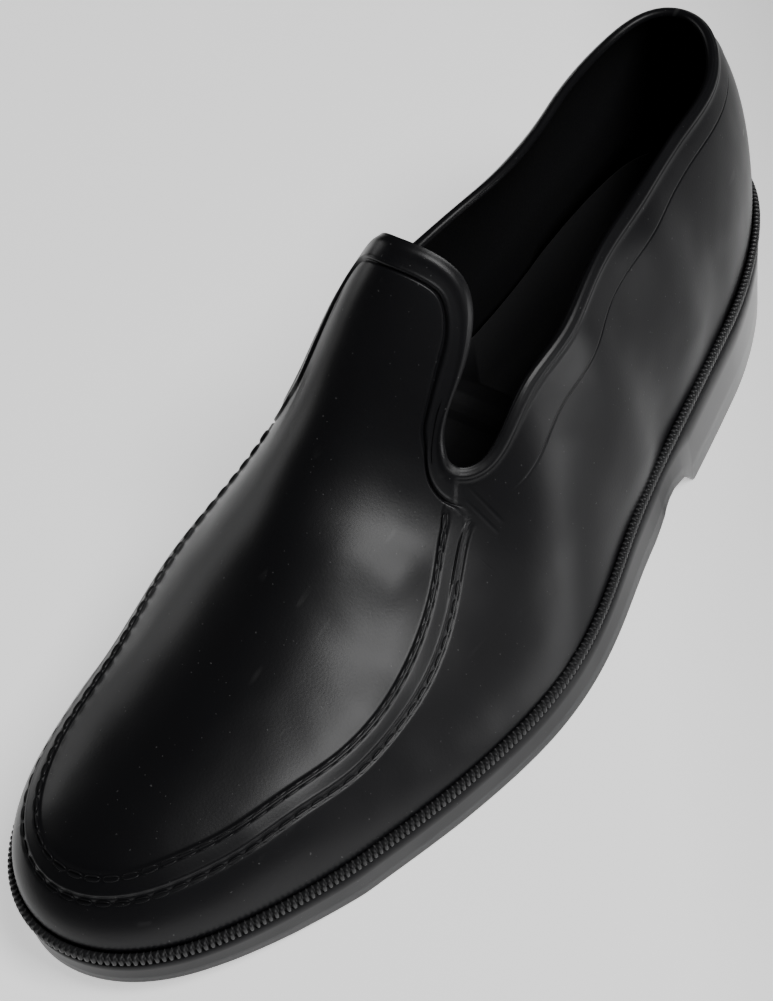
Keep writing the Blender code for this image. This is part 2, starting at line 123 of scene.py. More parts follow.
# The two stitch rows of the apron, as shares of the way out from the centre line to the outline.
APRON_COLUMNS = ("station", "outer", "inner")
APRON = (
    (0.000, 0.900, 0.830),
    (0.050, 0.885, 0.805),
    (0.090, 0.862, 0.760),
    (0.120, 0.843, 0.742),
    (0.170, 0.810, 0.710),
    (0.210, 0.825, 0.730),
    (0.260, 0.812, 0.733),
    (0.310, 0.778, 0.698),
    (0.345, 0.735, 0.655),
    (0.380, 0.680, 0.600),
    (0.420, 0.610, 0.530),
)

# Front of the heel from the arch back to the floor: station and share of HEEL_SEAT.
BREAST = (
    (0.590, 0.155),
    (0.603, 0.197),
    (0.613, 0.245),
    (0.618, 0.307),
    (0.626, 0.350),
    (0.637, 0.358),
    (0.651, 0.304),
    (0.661, 0.263),
    (0.670, 0.182),
    (0.680, 0.070),
    (0.685, 0.000),
)

# Side of the sole from the bottom edge up to the welt: bulge (share of SOLE_EDGE) and share of the way down.
SIDE_SECTION = (
    (0.00, 0.97),
    (-0.10, 0.70),
    (-0.15, 0.35),
    (0.00, 0.00),
)
SOLE_BEVEL = 0.0007     # bevel round the bottom edge of the sole
SOLE_MIDDLE = 0.55      # share of the way out at which the sole's floor has a row of points
SOLE_LIP = 0.0003       # how far the sole's top edge stays inside the welt

OUTER = 1.0
INNER = -1.0
OUTLINE_STEPS = np.linspace(0.0, 3.0, 901)   # turns at which the outline's length is measured


class Spline:
    """Natural cubic through the given values, or a closed one when the first and last value are the same."""

    def __init__(self, xs, ys, closed=False):
        self.x = np.array(xs, float)
        self.y = np.array(ys, float)
        h = np.diff(self.x)
        n = len(self.x)
        a = np.zeros((n, n))
        b = np.zeros((n,) + self.y.shape[1:])
        slope = (np.diff(self.y, axis=0).T / h).T
        for i in range(1, n - 1):
            a[i, i - 1:i + 2] = (h[i - 1], 2.0 * (h[i - 1] + h[i]), h[i])
            b[i] = 6.0 * (slope[i] - slope[i - 1])
        if closed:
            a[0, 0], a[0, n - 1] = 1.0, -1.0
            a[-1, 0] += 2.0 * h[0]
            a[-1, 1] += h[0]
            a[-1, n - 2] += h[-1]
            a[-1, n - 1] += 2.0 * h[-1]
            b[-1] = 6.0 * (slope[0] - slope[-1])
        else:
            a[0, 0] = a[-1, -1] = 1.0
        self.m = np.linalg.solve(a, b)
        self.closed = closed

    def __call__(self, at):
        at = np.asarray(at, float)
        if self.closed:
            at = self.x[0] + np.mod(at - self.x[0], self.x[-1] - self.x[0])
        i = np.clip(np.searchsorted(self.x, at, side="right") - 1, 0, len(self.x) - 2)
        h = self.x[i + 1] - self.x[i]
        left = (self.x[i + 1] - at) / h
        right = (at - self.x[i]) / h
        shape = at.shape + (1,) * (self.y.ndim - 1)
        left, right, h = left.reshape(shape), right.reshape(shape), h.reshape(shape)
        bend = ((left ** 3 - left) * self.m[i] + (right ** 3 - right) * self.m[i + 1]) * h ** 2 / 6.0
        return left * self.y[i] + right * self.y[i + 1] + bend


def column(names, rows, name, scale=1.0):
    """Spline along the station column for one named column of a table."""
    i = names.index(name)
    k = names.index("station")
    return Spline([row[k] for row in rows], [row[i] * scale for row in rows])


HALF_WIDTH = column(LAST_COLUMNS, LAST, "half_width", BALL_HALF_WIDTH)
CENTRE = column(LAST_COLUMNS, LAST, "centre", BALL_HALF_WIDTH)
RIDGE = column(LAST_COLUMNS, LAST, "ridge", COLLAR_HEIGHT)
FULLNESS = column(LAST_COLUMNS, LAST, "fullness")
LEAN = column(LAST_COLUMNS, LAST, "lean", BALL_HALF_WIDTH)
WELT_Z = column(SOLE_COLUMNS, SOLE, "welt", HEEL_SEAT)
FLARE = column(SOLE_COLUMNS, SOLE, "flare", SOLE_EDGE)
APRON_OUTER = column(APRON_COLUMNS, APRON, "outer")
APRON_INNER = column(APRON_COLUMNS, APRON, "inner")


# Outline of the sole: toe arc, straight flanks along the stations, heel arc.
TOE_Y = -0.5 * LENGTH + TOE_LENGTH
HEEL_Y = 0.5 * LENGTH - HEEL_LENGTH


def station(y):
    return np.clip(y / LENGTH + 0.5, -0.02, 1.02)


def outline_point(turn):
    """Cross share and y on the outline, and the y of its anchor on the centre line; turn runs 0 to 3."""
    toe = np.clip(turn, 0.0, 1.0) * 0.5 * np.pi
    heel = np.clip(turn - 2.0, 0.0, 1.0) * 0.5 * np.pi
    cross = np.maximum(np.sin(toe), 0.0) ** (2.0 / TOE_POWER)
    cross = cross * np.maximum(np.cos(heel), 0.0) ** (2.0 / HEEL_POWER)
    anchor = TOE_Y + np.clip(turn - 1.0, 0.0, 1.0) * (HEEL_Y - TOE_Y)
    y = anchor - TOE_LENGTH * np.maximum(np.cos(toe), 0.0) ** (2.0 / TOE_POWER)
    y = y + HEEL_LENGTH * np.maximum(np.sin(heel), 0.0) ** (2.0 / HEEL_POWER)
    return cross, y, anchor


def plan(cross, y):
    return CENTRE(station(y)) + cross * HALF_WIDTH(station(y))


def outline_turns(shares):
    """Turn values at the given shares of the length of one side of the outline."""
    cross, y, _ = outline_point(OUTLINE_STEPS)
    x = plan(cross, y)
    run = np.concatenate(([0.0], np.cumsum(np.hypot(np.diff(x), np.diff(y)))))
    return np.interp(shares, run / run[-1], OUTLINE_STEPS)


def outline_offset(turn, side, distance):
    """Plan position on the outline moved outwards by a distance."""
    step = 1e-3
    ahead = outline_point(np.clip(turn + step, 0.0, 3.0))
    back = outline_point(np.clip(turn - step, 0.0, 3.0))
    cross, y, anchor = outline_point(turn)
    x = plan(side * cross, y)
    dx = plan(side * ahead[0], ahead[1]) - plan(side * back[0], back[1])
    dy = ahead[1] - back[1]
    dx = np.where((turn <= step) | (turn >= 3.0 - step), side * np.abs(dx), dx)
    dx = np.where(turn >= 3.0 - step, -side * np.abs(dx), dx)
    dy = np.where((turn <= step) | (turn >= 3.0 - step), 0.0, dy)
    run = np.hypot(dx, dy)
    return x + side * dy / run * distance, y - side * dx / run * distance, anchor


def reach(cross, y):
    """How far out a place of the upper lies: 0 on the centre line, 1 on the outline."""
    toe = np.clip((TOE_Y - y) / TOE_LENGTH, 0.0, 1.3)
    heel = np.clip((y - HEEL_Y) / HEEL_LENGTH, 0.0, 1.3)
    power = np.where(toe > 0.0, TOE_POWER, HEEL_POWER)
    return (np.abs(cross) ** power + toe ** power + heel ** power) ** (1.0 / power)


def over_last(cross, y):
    """Point of the upper's outer surface over a cross share and y."""
    s = station(y)
    power = FULLNESS(s)
    out = np.clip(reach(cross, y), 0.0, 1.0)
    low = RIDGE_ROUND ** power
    full = (1.0 + RIDGE_ROUND ** 2) ** (0.5 * power) - low
    drop = ((out ** 2 + RIDGE_ROUND ** 2) ** (0.5 * power) - low) / full
    rise = np.clip(1.0 - drop, 0.0, 1.0) ** (1.0 / power)
    foot = WELT_Z(s) + LAST_FOOT
    x = plan(cross, y) + LEAN(s) * rise
    return np.stack([x, y + 0.0 * rise, foot + (RIDGE(s) - foot) * rise], axis=-1)


def edge_ring():
    """Closed curve of the open edge in cross share and y, with its place numbers."""
    half = [(row[0], (row[1] - 0.5) * LENGTH) for row in EDGE]
    ring = half + [(-cross, y) for cross, y in half[-2:0:-1]] + half[:1]
    points = np.array(ring)
    scaled = points * (0.75 * BALL_HALF_WIDTH, 1.0)
    run = np.sqrt(np.hypot(*np.diff(scaled, axis=0).T))
    places = np.concatenate(([0.0], np.cumsum(run)))
    return Spline(places, points, closed=True), places


RING, PLACES = edge_ring()
HALF_PLACES = PLACES[:len(EDGE)]
NOTCH = 4               # row of EDGE at the bottom of the notch
NOTCH_SHARE = EDGE[NOTCH][EDGE_COLUMNS.index("outline")]


def edge_line():
    """Dense points along the open edge on the outer surface."""
    flat = RING(np.linspace(0.0, PLACES[-1], 700, endpoint=False))
    return over_last(flat[:, 0], flat[:, 1])


EDGE_LINE = edge_line()


def keyed(name, place, odd=False):
    """A column of EDGE at a place along the edge, eased over the corners at its rows."""
    values = [row[EDGE_COLUMNS.index(name)] for row in EDGE]
    end = HALF_PLACES[-1]
    near = place + np.linspace(-0.035, 0.035, 9) * end
    folded = np.where(near > end, 2.0 * end - near, np.abs(near))
    sign = np.where((near < 0.0) | (near > end), -1.0, 1.0) if odd else 1.0
    return float(np.mean(sign * np.interp(folded, HALF_PLACES, values)))


def ease(x, low, high):
    t = np.clip((x - low) / (high - low), 0.0, 1.0)
    return t * t * (3.0 - 2.0 * t)


def from_row(cross, y, row):
    """Signed distance outside one of the apron's rows, measured on the surface."""
    step = 1e-4
    first, last = APRON[0][0], APRON[-1][0]

    def value(c, v):
        return reach(c, v) - row(np.clip(station(v), first, last))

    here = over_last(cross, y)
    wide = np.linalg.norm(over_last(cross + step, y) - here, axis=-1) / step
    long = np.linalg.norm(over_last(cross, y + 0.1 * step) - here, axis=-1) / (0.1 * step)
    base = value(cross, y)
    across = (value(cross + step, y) - base) / step / wide
    along = (value(cross, y + 0.1 * step) - base) / (0.1 * step) / long
    return base / np.maximum(np.hypot(across, along), 2.0)


STRIP_STEPS = np.linspace(0.0, 1.0, 301)[:, None]   # places along a strip, from the welt to the edge

# Shares between which the tongue's form gives way to the collar's, and the apron's rows leave their lines.
FORE_END = (NOTCH_SHARE + 0.010, NOTCH_SHARE + 0.024)
EVEN_START = (NOTCH_SHARE + 0.035, NOTCH_SHARE + 0.105)


class Strip:
    """One strip of the upper from the welt to the open edge, with its distances from the lines."""

    def __init__(self, share, side):
        shares = [row[EDGE_COLUMNS.index("outline")] for row in EDGE]
        place = np.interp(share, shares, HALF_PLACES)
        self.share, self.side = share, side
        self.border = keyed("border", place) * APRON_BAND
        self.fore = 1.0 - ease(share, *FORE_END)
        self.even = ease(share, *EVEN_START)
        top = RING(place if side > 0.0 else PLACES[-1] - place)
        cross, y, _ = outline_point(float(outline_turns(share)))
        foot = np.array((side * cross, y))
        turn_y = (keyed("bend_station", place) - 0.5) * LENGTH
        bend = np.array((side * keyed("bend_cross", place, odd=True), turn_y))
        t = STRIP_STEPS
        self.way = foot * (1.0 - t) ** 2 + bend * 2.0 * t * (1.0 - t) + top * t ** 2
        surface = over_last(self.way[:, 0], self.way[:, 1])
        steps = np.linalg.norm(np.diff(surface, axis=0), axis=1)
        self.run = np.concatenate(([0.0], np.cumsum(steps)))
        self.length = self.run[-1]
        apart = surface[:, None] - EDGE_LINE[None]
        self.edge = np.sqrt((apart ** 2).sum(axis=2).min(axis=1))
        self.edge[-1] = 0.0
        self.outer = from_row(self.way[:, 0], self.way[:, 1], APRON_OUTER)
        self.inner = from_row(self.way[:, 0], self.way[:, 1], APRON_INNER)

    def cut(self, values, level):
        """Length at which a distance that falls along the strip last stands above a level."""
        far = np.nonzero(values > level)[0]
        i = far[-1] if len(far) else 0
        j = min(i + 1, len(values) - 1)
        share = np.clip((values[i] - level) / max(values[i] - values[j], 1e-12), 0.0, 1.0)
        return self.run[i] + share * (self.run[j] - self.run[i])

    def at(self, run):
        """Cross share and y at lengths along the strip."""
        return np.interp(run, self.run, self.way[:, 0]), np.interp(run, self.run, self.way[:, 1])


ORIGIN_X = -0.002575     # the part's middle in plan, relative to the last's own axis
MM = 0.001

# Fine rows of the upper across its lines, in mm from outside inwards: across a line, across the band's edge,
# and from the collar's bead to the open edge.
LINE_ROWS = (
    -2.2, -1.7, -1.35, -1.1, -0.9, -0.7, -0.5, -0.3, -0.1,
    0.1, 0.3, 0.5, 0.7, 0.9, 1.1, 1.35, 1.7, 2.2,
)
STEP_ROWS = (-0.6, -0.35, -0.2, -0.1, 0.0, 0.1, 0.2, 0.35, 0.6)
EDGE_ROWS = (
    5.6, 5.0, 4.5, 4.1, 3.8, 3.55, 3.3, 3.05, 2.8, 2.5,
    2.2, 1.9, 1.6, 1.35, 1.1, 0.85, 0.6, 0.4, 0.22, 0.08,
)
SIDE_ROWS, BAND_ROWS, PLUG_ROWS, BORDER_ROWS = 20, 4, 36, 5   # rows between the lines
SIDE_STRIPS = 260
CALM = 3                 # strips to each side over which the strips' ways are evened, so that none cross
FINE_SPACING = 0.00002   # least distance between fine rows
INNER_SPACING = 0.0025   # distance between the rows of the inside
QUARTER_ROWS = (0.50, 0.55, 0.60)   # where the apron's outer, step and inner rows run on under the quarters
SIDE_CROWD = 1.25        # how much closer the rows of the side stand at the welt

STEP_AT = 1.35           # mm inside the outer stitch row, where the apron band's edge stands up

# Forms across the lines of the upper, in mm: distance from their line, half width and height.
BAND_LIP = (-STEP_AT - 0.35, 0.35, 0.14)
OUTER_GROOVE = (0.0, 0.52, -0.32)
INNER_GROOVE = (0.0, 0.56, -0.38)
TONGUE_GROOVE = (0.30, 0.34, -0.55)
TONGUE_LIP = (-0.55, 0.40, 0.10)
COLLAR_LINE = (0.0, 0.24, -0.32)
BEAD_LIP = (3.45, 0.40, 0.12)
BEAD_GROOVE = (2.90, 0.35, -0.40)
EDGE_SWELL = (2.40, 1.30, 0.30)

# Steps across the same lines, in mm: where they start and end.
BAND_OUTER_STEP = (STEP_AT - 0.12, STEP_AT + 0.12)
BAND_INNER_STEP = (0.3, 1.5)
BAND_CLEARANCE = (-0.2, 0.5)   # from the tongue's border
TONGUE_STEP = (-0.15, 0.15)
COLLAR_STEP = (-0.25, 0.25)
BEAD_STEP = (3.05, 3.50)
BEAD_HEIGHT = 0.45
EDGE_SWELL_START = (0.0, 2.0)
TONGUE_ROUNDING = (1.4, 0.25)  # of the open edge: width and drop
BEAD_ROUNDING = (0.9, 0.35)

BAND_END = (0.426, 0.432)      # stations between which the apron's band ends at the notches
QUARTER_LINE = (0.42, 0.50)    # shares between which the quarter's line sets in


def hump(x, width):
    """Bell curve, 1 in its middle."""
    return np.exp(-(x / width) ** 2)


def form(distance, shape):
    """Height of a soft ridge or trough across a line."""
    place, width, height = shape
    return height * hump(distance - place, width)


def rounding(edge, shape):
    """How far the surface falls off towards the open edge."""
    width, drop = shape
    return drop * (1.0 - ease(edge, 0.0, width))


def fine_rows(strip):
    """Lengths of the fine rows along one strip."""
    def rows(values, level, offsets, limit=strip.length):
        return np.array([min(strip.cut(values, level - mm * MM), limit) for mm in offsets])

    edge = np.append(rows(strip.edge, 0.0, [-mm for mm in EDGE_ROWS]), strip.length)
    border = rows(strip.edge, strip.border, LINE_ROWS)
    limit = border[0]
    groups = []
    for values, level, offsets, default in (
            (strip.outer, 0.0, LINE_ROWS, QUARTER_ROWS[0]),
            (strip.outer, -STEP_AT * MM, STEP_ROWS, QUARTER_ROWS[1]),
            (strip.inner, 0.0, LINE_ROWS, QUARTER_ROWS[2])):
        flat = default * limit + 0.5 * MM * np.array(offsets)
        near = rows(values, level, offsets, limit)
        groups.append(near + strip.even * (flat - near))
    outer, step, inner = groups
    side = np.linspace(0.0, 1.0, SIDE_ROWS)[:-1] ** SIDE_CROWD * outer[0]
    band = np.linspace(step[-1], inner[0], BAND_ROWS)[1:-1]
    plug = np.linspace(inner[-1], border[0], PLUG_ROWS)[1:-1]
    on_strip = np.linspace(border[-1], edge[0], BORDER_ROWS)[1:-1]
    places = np.concatenate((side, outer, step, band, inner, plug, border, on_strip, edge))
    lift = FINE_SPACING * np.arange(len(places))
    places = np.maximum.accumulate(places - lift) + lift
    return places * (strip.length / places[-1])


def fine_rise(strip, rows):
    """How far the surface stands above the last along one strip, in metres."""
    outer = np.interp(rows, strip.run, strip.outer) / MM
    inner = np.interp(rows, strip.run, strip.inner) / MM
    edge = np.interp(rows, strip.run, strip.edge) / MM
    border = edge - strip.border / MM
    along = station(strip.at(rows)[1])
    below = (strip.length - rows) / MM
    clear = ease(border, *BAND_CLEARANCE) * (1.0 - ease(along, *BAND_END))
    line = ease(strip.share, *QUARTER_LINE)
    band = ease(-outer, *BAND_OUTER_STEP) * (1.0 - ease(-inner, *BAND_INNER_STEP))
    rise = clear * (STEP_RISE / MM * band + form(outer, BAND_LIP))
    rise += clear * (form(outer, OUTER_GROOVE) + form(inner, INNER_GROOVE))
    rise += form(below, EDGE_SWELL) * ease(below, *EDGE_SWELL_START)
    tongue = STEP_RISE / MM * (1.0 - ease(border, *TONGUE_STEP)) + form(border, TONGUE_GROOVE)
    tongue += form(border, TONGUE_LIP) - rounding(edge, TONGUE_ROUNDING)
    collar = QUARTER_RISE / MM * line * (1.0 - ease(border, *COLLAR_STEP)) + line * form(border, COLLAR_LINE)
    collar += BEAD_HEIGHT * (1.0 - ease(edge, *BEAD_STEP)) - rounding(edge, BEAD_ROUNDING)
    collar += form(edge, BEAD_LIP) + form(edge, BEAD_GROOVE)
    return (rise + strip.fore * tongue + (1.0 - strip.fore) * collar) * MM


# Soft ridges and troughs (negative) laid one by one, in mm on the last: two ends, half width and height.
SOFT_FORMS = (
    ((45, 31, 34), (38, 27, 70), 12.0, 1.5),     # outer quarter, two upright swells with hollows between them
    ((42, 47, 38), (36, 44, 72), 10.0, -1.0),
    ((38, 70, 45), (32, 66, 78), 12.0, 1.3),
    ((36, 92, 50), (29, 86, 78), 12.0, -0.7),
    ((32, -112, 35), (37, -76, 38), 11.0, 1.0),  # rim of the toe's plug
    ((-6, -50, 60), (22, -44, 52), 8.0, 0.8),    # fold across the instep
    ((-6, -68, 53), (24, -62, 47), 9.0, -0.5),
    ((-36, 31, 34), (-26, 27, 70), 11.0, 0.9),   # inner quarter
    ((-33, 50, 38), (-25, 46, 72), 9.0, -0.7),
    ((-31, 74, 45), (-24, 70, 75), 11.0, 0.8),
)


def soft_forms(points):
    """Height of the soft forms at places on the last, in metres."""
    total = np.zeros(points.shape[:-1])
    p = points / MM
    for start, end, width, height in SOFT_FORMS:
        a, b = np.array(start, float), np.array(end, float)
        t = np.clip(((p - a) @ (b - a)) / ((b - a) @ (b - a)), 0.0, 1.0)
        away = np.linalg.norm(p - a - t[..., None] * (b - a), axis=-1)
        total += height * hump(away, width)
    return total * MM


def spaced(places):
    """Numbers of the rows that stand about INNER_SPACING apart, with the first and the last."""
    pick = [0]
    for k in range(1, len(places) - 1):
        if places[k] - places[pick[-1]] > INNER_SPACING and places[-1] - places[k] > 0.5 * INNER_SPACING:
            pick.append(k)
    return pick + [len(places) - 1]


def fine_upper():
    """Outer and inner grids of the upper and its strips."""
    shares = np.linspace(0.0, 1.0, SIDE_STRIPS + 1)
    lines = [Strip(share, OUTER) for share in shares]
    lines += [Strip(share, INNER) for share in shares[-2:0:-1]]
    rows = [fine_rows(strip) for strip in lines]
    ways = np.array([strip.at(at) for strip, at in zip(lines, rows)])
    ways = sum(np.roll(ways, n, axis=0) for n in range(-CALM, CALM + 1)) / (2.0 * CALM + 1.0)
    base = over_last(ways[:, 0], ways[:, 1])
    rise = np.array([fine_rise(strip, at) for strip, at in zip(lines, rows)])
    around = np.roll(base, -1, axis=0) - np.roll(base, 1, axis=0)
    along = base[:, 2:] - base[:, :-2]
    along = np.concatenate((along[:, :1], along, along[:, -1:]), axis=1)
    normal = np.cross(around, along)
    normal[:, 0, 2] = 0.0
    normal /= np.maximum(np.linalg.norm(normal, axis=2), 1e-12)[:, :, None]
    outer = base + normal * (rise + soft_forms(base))[:, :, None]
    inner = (base - normal * WALL)[:, spaced(np.mean(rows, axis=0))]
    inner[:, 0, 2] = base[:, 0, 2]
    floor = WELT_Z(station(base[:, 0, 1])) - 0.5 * WELT_HEIGHT
    foot_out, foot_in = outer[:, 0].copy(), inner[:, 0].copy()
    foot_out[:, 2] = floor
    foot_in[:, 2] = floor
    outer = np.concatenate((foot_out[:, None], outer), axis=1)
    inner = np.concatenate((foot_in[:, None], inner), axis=1)
    return outer, inner, lines


def add_mesh(name, points, faces, materials, slots=None):
    """A closed, smooth piece; slots give each face's material."""
    mesh = bpy.data.meshes.new(name)
    points = np.asarray(points) + (ORIGIN_X, 0.0, 0.0)
    mesh.from_pydata(points.tolist(), [], faces)
    for material in materials:
        mesh.materials.append(material)
    if slots is not None:
        mesh.polygons.foreach_set("material_index", slots)
    mesh.update()
    work = bmesh.new()
    work.from_mesh(mesh)
    bmesh.ops.remove_doubles(work, verts=work.verts, dist=1e-6)
    bmesh.ops.dissolve_degenerate(work, edges=work.edges, dist=1e-7)
    bmesh.ops.recalc_face_normals(work, faces=work.faces)
    work.to_mesh(mesh)
    work.free()
    mesh.polygons.foreach_set("use_smooth", [True] * len(mesh.polygons))
    part = bpy.data.objects.new(name, mesh)
    bpy.context.scene.collection.objects.link(part)
    return part


def tube_faces(count, size, closed):
    """Quads joining a ring of sections of the given size; closed sections join end to start."""
    i = np.arange(count)[:, None]
    k = np.arange(size if closed else size - 1)[None, :]
    j, m = (i + 1) % count, (k + 1) % size
    quads = np.stack([i * size + k, j * size + k, j * size + m, i * size + m], axis=-1)
    return quads.reshape(-1, 4).tolist()


def add_ring(name, sections, materials, closed=True, inside=None):
    """A ring of sections; from the place named inside on, its faces take the second material."""
    sections = np.asarray(sections)
    count, size = sections.shape[:2]
    slots = None
    if inside is not None:
        places = np.arange(size if closed else size - 1)
        slots = np.tile(places >= inside, count).astype(int).tolist()
    return add_mesh(name, sections.reshape(-1, 3), tube_faces(count, size, closed), materials, slots)


class Link:
    """A shader value whose arithmetic adds the matching nodes."""

    def __init__(self, tree, socket):
        self.tree, self.socket = tree, socket

    def _maths(self, operation, *values):
        return self.tree.node("ShaderNodeMath", {"operation": operation}, dict(enumerate(values)))

    def __add__(self, other):
        return self._maths("ADD", self, other)

    def __radd__(self, other):
        return self._maths("ADD", other, self)

    def __sub__(self, other):
        return self._maths("SUBTRACT", self, other)

    def __rsub__(self, other):
        return self._maths("SUBTRACT", other, self)

    def __mul__(self, other):
        return self._maths("MULTIPLY", self, other)

    def __rmul__(self, other):
        return self._maths("MULTIPLY", other, self)

    def __truediv__(self, other):
        return self._maths("DIVIDE", self, other)

    def clamp(self):
        """The value held between 0 and 1."""
        return self._maths("MINIMUM", self._maths("MAXIMUM", self, 0.0), 1.0)


OBJECT_PLACE = 3         # output of the coordinate node that gives places on the object


class Tree:
    """A material and the means to add its nodes."""

    def __init__(self, name):
        self.material = bpy.data.materials.new(name)
        self.material.use_nodes = True
        self.nodes = self.material.node_tree.nodes
        self.links = self.material.node_tree.links
        self.shader = self.nodes["Principled BSDF"]

    def node(self, kind, settings=(), values=(), output=0):
        made = self.nodes.new(kind)
        for key, value in dict(settings).items():
            setattr(made, key, value)
        for key, value in dict(values).items():
            self.put(made.inputs[key], value)
        return Link(self, made.outputs[output])

    def put(self, socket, value):
        if isinstance(value, Link):
            self.links.new(value.socket, socket)
        else:
            socket.default_value = value

    def set(self, **values):
        for key, value in values.items():
            self.put(self.shader.inputs[key.replace("_", " ")], value)

    def place(self):
        return self.node("ShaderNodeTexCoord", output=OBJECT_PLACE)

    def vector(self, operation, a, b=(0.0, 0.0, 0.0), output=0):
        return self.node("ShaderNodeVectorMath", {"operation": operation}, {0: a, 1: b}, output)

    def noise(self, place, scale, detail=3.0, roughness=0.5, stretch=None):
        if stretch:
            place = self.vector("MULTIPLY", place, stretch)
        values = {"Vector": place, "Scale": scale, "Detail": detail, "Roughness": roughness}
        return self.node("ShaderNodeTexNoise", {}, values)

    def mix(self, factor, first, second):
        """Colour between two colours."""
        return self.node("ShaderNodeMix", {"data_type": "RGBA"}, {0: factor, 6: first, 7: second}, 2)

    def bump(self, height):
        """Normal for a height in millimetres."""
        return self.node("ShaderNodeBump", {}, {"Height": height, "Distance": MM, "Strength": 1.0})

    def crease(self, place, start, end, width):
        """1 midway on a line between two places of the last (mm), falling to 0 at its ends and width."""
        a = Vector(start) * MM + Vector((ORIGIN_X, 0.0, 0.0))
        way = (Vector(end) - Vector(start)) * MM
        rel = self.vector("SUBTRACT", place, tuple(a))
        along = self.vector("DOT_PRODUCT", rel, tuple(way / way.length_squared), 1).clamp()
        foot = self.node("ShaderNodeVectorMath", {"operation": "SCALE"}, {0: tuple(way), "Scale": along})
        away = self.vector("DISTANCE", rel, foot, 1)
        fade = along * (1.0 - along) * 4.0
        near = (1.0 - away / (width * MM)).clamp()
        return near * near * fade


# Creases that run down from the notches on both sides, in mm on the last: two ends, half width and depth.
CREASES = (
    ((24.5, -16.4, 60.4), (34.6, -15.6, 49.8), 1.05, 0.55),
    ((25.6, -18.8, 57.5), (34.8, -18.0, 48.2), 1.05, 0.50),
    ((29.6, -25.9, 49.8), (37.4, -25.1, 42.5), 0.7, 0.60),
)

# Textures: scale per metre, detail, roughness and stretch.
TEXTURES = {
    "cloud": (26.0, 4.0, 0.55),
    "smears": (60.0, 2.0, 0.5, (1.0, 0.25, 1.0)),
    "grain": (1400.0, 2.0, 0.6),
    "waves": (55.0, 1.0, 0.4),
    "scratches": (260.0, 1.0, 0.5, (1.0, 0.06, 0.8)),
    "patches": (34.0,),
    "specks": (1500.0, 0.0),
    "cloth": (900.0, 3.0, 0.7),
}
GRAIN_HEIGHT, WAVE_HEIGHT, SCRATCH_DEPTH, CLOTH_HEIGHT = 0.018, 0.55, 0.03, 0.12   # mm
CLOUD_SHEEN, SMEAR_SHEEN, SCRATCH_SHEEN, SHEEN_SHIFT = 0.10, 0.06, 0.05, 0.08    # changes of roughness
RUBBER_SHINE = 0.22      # weight of the reflections of rubber and of the lining
LINING_SHINE = 0.25
COAT_ROUGHNESS = 0.3
DUST = (0.16, 0.16, 0.16, 1.0)


def rubber(name, colour, roughness, wear=1.0, creases=(), polish=None):
    """Black rubber: an uneven sheen, a faint moulded grain, fine scratches and a little dust.

    wear scales the scratches and the dust; polish is the y where a coat starts and is full, and its weight.
    """
    tree = Tree(name)
    place = tree.place()
    cloud, smears, grain, waves, scratches, patches, specks = (
        tree.noise(place, *TEXTURES[texture])
        for texture in ("cloud", "smears", "grain", "waves", "scratches", "patches", "specks"))
    scratch = ((scratches - 0.68) * 18.0).clamp() * (patches * 6.0 - 3.1).clamp() * wear
    speck = ((specks - 0.835) * 30.0).clamp() * wear
    height = grain * GRAIN_HEIGHT + waves * WAVE_HEIGHT - scratch * SCRATCH_DEPTH
    for start, end, width, depth in creases:
        height = height - tree.crease(place, start, end, width) * depth
    sheen = cloud * CLOUD_SHEEN + smears * SMEAR_SHEEN + (roughness - SHEEN_SHIFT) - scratch * SCRATCH_SHEEN
    dust = tree.mix((scratch * 0.15 + speck * 0.35).clamp(), (*colour, 1.0), DUST)
    tree.set(Base_Color=dust, Roughness=sheen, Normal=tree.bump(height), Specular_IOR_Level=RUBBER_SHINE)
    if polish:
        start, full, weight = polish
        y = tree.node("ShaderNodeSeparateXYZ", {}, {0: place}, 1)
        tree.set(Coat_Weight=((y - start) / (full - start)).clamp() * weight, Coat_Roughness=COAT_ROUGHNESS)
    return tree.material


def matte_lining(name):
    """Dull black inside of the rubber."""
    tree = Tree(name)
    cloth = tree.noise(tree.place(), *TEXTURES["cloth"])
    tree.set(Base_Color=(0.008, 0.008, 0.009, 1.0), Roughness=cloth * 0.2 + 0.6)
    tree.set(Normal=tree.bump(cloth * CLOTH_HEIGHT), Specular_IOR_Level=LINING_SHINE)
    return tree.material


def dress(part, node, replaced=True):
    """Attach a piece to the root body; a piece that isn't added detail also hides the node it replaces."""
    if replaced:
        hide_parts(node)
    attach(part, "root")


def both_sides(creases):
    """The creases of the outer side and their like on the inner side of the foot."""
    def over(point):
        x, y, z = point
        s = station(y * MM)
        foot = WELT_Z(s) + LAST_FOOT
        rise = (z * MM - foot) / (RIDGE(s) - foot)
        middle = (CENTRE(s) + LEAN(s) * rise) / MM
        return (float(2.0 * middle - x), y, z)

    return creases + tuple((over(a), over(b), width, depth) for a, b, width, depth in creases)


def build_upper():
    """The upper's skin; gives back its strips for the stitches."""
    outer, inner, lines = fine_upper()
    sections = np.concatenate((outer, inner[:, ::-1]), axis=1)
    skin = rubber("upper_rubber", (0.007, 0.007, 0.008), 0.35, 1.0, both_sides(CREASES))
    materials = (skin, matte_lining("upper_inside"))
    part = add_ring("upper_skin", sections, materials, inside=outer.shape[1])
    dress(part, "upper")
    return lines


